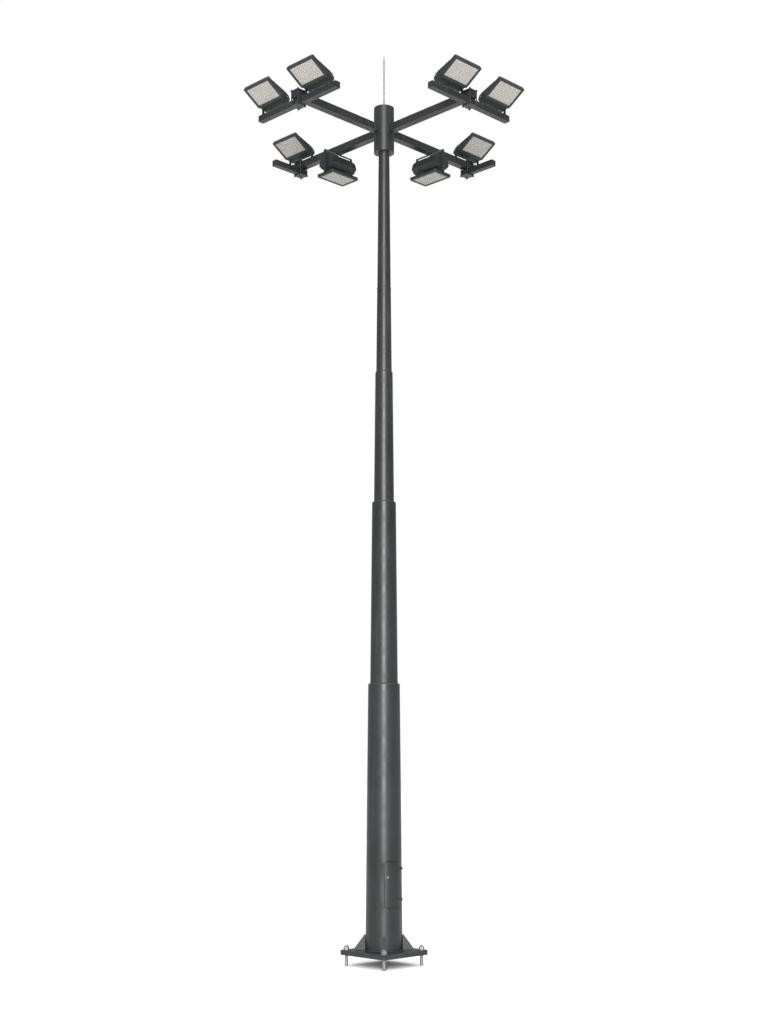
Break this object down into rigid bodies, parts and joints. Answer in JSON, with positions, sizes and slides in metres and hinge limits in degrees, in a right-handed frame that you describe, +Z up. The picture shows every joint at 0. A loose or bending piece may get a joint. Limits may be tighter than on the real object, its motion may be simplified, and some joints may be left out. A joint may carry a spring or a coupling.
{
  "type": "high mast floodlight tower",
  "caption": "Stepped, tapered steel mast on a raised base plate, with tube arms and crossbars at its top that carry tilting floodlights on U-brackets.",
  "frame": {"origin": "centre of the base plate's underside", "axes": "+Z up along the mast, -Y towards the front, between the two arms that carry two floodlights each"},
  "size_m": [4.8792, 4.2322, 16.03],
  "materials": {
    "paint": "satin charcoal paint",
    "housing": "satin charcoal coated casting",
    "galvanised": "galvanised",
    "window": "clear lens plate over rows of LEDs"
  },
  "bodies": {
    "mast": {"base_plate": "paint", "gussets": "paint", "anchor_bolts": "galvanised", "anchor_nuts": "galvanised", "mast_section_1": "paint", "mast_section_2": "paint", "mast_section_3": "paint", "mast_section_4": "paint", "mast_section_5": "paint", "hub": "paint", "lightning_rod": "galvanised", "arm_clamps": "paint", "bracket_bolts": "galvanised", "arm_front_left": "paint", "arm_front_right": "paint", "arm_rear_left": "paint", "arm_rear_right": "paint", "crossbar_front_left": "paint", "crossbar_front_right": "paint", "crossbar_rear_left": "paint", "crossbar_rear_right": "paint"},
    "door": {"access_door": "paint"},
    "bracket_front_left_outer": {"bracket_front_left_outer": "paint"},
    "floodlight_front_left_outer": {"floodlight_front_left_outer": "housing", "lens_front_left_outer": "window"},
    "bracket_front_left_inner": {"bracket_front_left_inner": "paint"},
    "floodlight_front_left_inner": {"floodlight_front_left_inner": "housing", "lens_front_left_inner": "window"},
    "bracket_front_right_outer": {"bracket_front_right_outer": "paint"},
    "floodlight_front_right_outer": {"floodlight_front_right_outer": "housing", "lens_front_right_outer": "window"},
    "bracket_front_right_inner": {"bracket_front_right_inner": "paint"},
    "floodlight_front_right_inner": {"floodlight_front_right_inner": "housing", "lens_front_right_inner": "window"},
    "bracket_rear_left_end": {"bracket_rear_left_end": "paint"},
    "floodlight_rear_left_end": {"floodlight_rear_left_end": "housing", "lens_rear_left_end": "window"},
    "bracket_rear_left_hung": {"bracket_rear_left_hung": "paint"},
    "floodlight_rear_left_hung": {"floodlight_rear_left_hung": "housing", "lens_rear_left_hung": "window"},
    "bracket_rear_right_end": {"bracket_rear_right_end": "paint"},
    "floodlight_rear_right_end": {"floodlight_rear_right_end": "housing", "lens_rear_right_end": "window"},
    "bracket_rear_right_hung": {"bracket_rear_right_hung": "paint"},
    "floodlight_rear_right_hung": {"floodlight_rear_right_hung": "housing", "lens_rear_right_hung": "window"}
  },
  "joints": [
    {"name": "door_hinge", "type": "hinge", "parent": "mast", "child": "door", "pos_m": [0.29834, -0.10354, 1.145], "axis": [0, 0, 1], "range_deg": [0, 120]},
    {"name": "swivel_front_left_outer", "type": "hinge", "parent": "mast", "child": "bracket_front_left_outer", "pos_m": [-1.89858, -1.03308, 14.3115], "axis": [0, 0, 1], "range_deg": [-20, 20]},
    {"name": "tilt_front_left_outer", "type": "hinge", "parent": "bracket_front_left_outer", "child": "floodlight_front_left_outer", "pos_m": [-1.89858, -1.03308, 14.4615], "axis": [0.7071, -0.7071, 0], "range_deg": [-57, 33]},
    {"name": "swivel_front_left_inner", "type": "hinge", "parent": "mast", "child": "bracket_front_left_inner", "pos_m": [-1.10379, -1.82787, 14.3115], "axis": [0, 0, 1], "range_deg": [-20, 20]},
    {"name": "tilt_front_left_inner", "type": "hinge", "parent": "bracket_front_left_inner", "child": "floodlight_front_left_inner", "pos_m": [-1.10379, -1.82787, 14.4615], "axis": [0.7071, -0.7071, 0], "range_deg": [-57, 33]},
    {"name": "swivel_front_right_outer", "type": "hinge", "parent": "mast", "child": "bracket_front_right_outer", "pos_m": [1.89858, -1.03308, 14.3115], "axis": [0, 0, 1], "range_deg": [-20, 20]},
    {"name": "tilt_front_right_outer", "type": "hinge", "parent": "bracket_front_right_outer", "child": "floodlight_front_right_outer", "pos_m": [1.89858, -1.03308, 14.4615], "axis": [0.7071, 0.7071, 0], "range_deg": [-57, 33]},
    {"name": "swivel_front_right_inner", "type": "hinge", "parent": "mast", "child": "bracket_front_right_inner", "pos_m": [1.10379, -1.82787, 14.3115], "axis": [0, 0, 1], "range_deg": [-20, 20]},
    {"name": "tilt_front_right_inner", "type": "hinge", "parent": "bracket_front_right_inner", "child": "floodlight_front_right_inner", "pos_m": [1.10379, -1.82787, 14.4615], "axis": [0.7071, 0.7071, 0], "range_deg": [-57, 33]},
    {"name": "swivel_rear_left_end", "type": "hinge", "parent": "mast", "child": "bracket_rear_left_end", "pos_m": [-1.59099, 1.59099, 14.4615], "axis": [0, 0, 1], "range_deg": [-20, 20]},
    {"name": "tilt_rear_left_end", "type": "hinge", "parent": "bracket_rear_left_end", "child": "floodlight_rear_left_end", "pos_m": [-1.59099, 1.59099, 14.6115], "axis": [0.7071, -0.7071, 0], "range_deg": [-57, 33]},
    {"name": "swivel_rear_left_hung", "type": "hinge", "parent": "mast", "child": "bracket_rear_left_hung", "pos_m": [-0.85984, 0.85984, 14.3115], "axis": [0, 0, 1], "range_deg": [-20, 20]},
    {"name": "tilt_rear_left_hung", "type": "hinge", "parent": "bracket_rear_left_hung", "child": "floodlight_rear_left_hung", "pos_m": [-0.85984, 0.85984, 13.8945], "axis": [-0.7071, -0.7071, 0], "range_deg": [-35, 35]},
    {"name": "swivel_rear_right_end", "type": "hinge", "parent": "mast", "child": "bracket_rear_right_end", "pos_m": [1.59099, 1.59099, 14.4615], "axis": [0, 0, 1], "range_deg": [-20, 20]},
    {"name": "tilt_rear_right_end", "type": "hinge", "parent": "bracket_rear_right_end", "child": "floodlight_rear_right_end", "pos_m": [1.59099, 1.59099, 14.6115], "axis": [0.7071, 0.7071, 0], "range_deg": [-57, 33]},
    {"name": "swivel_rear_right_hung", "type": "hinge", "parent": "mast", "child": "bracket_rear_right_hung", "pos_m": [0.85984, 0.85984, 14.3115], "axis": [0, 0, 1], "range_deg": [-20, 20]},
    {"name": "tilt_rear_right_hung", "type": "hinge", "parent": "bracket_rear_right_hung", "child": "floodlight_rear_right_hung", "pos_m": [0.85984, 0.85984, 13.8945], "axis": [-0.7071, 0.7071, 0], "range_deg": [-35, 35]}
  ]
}
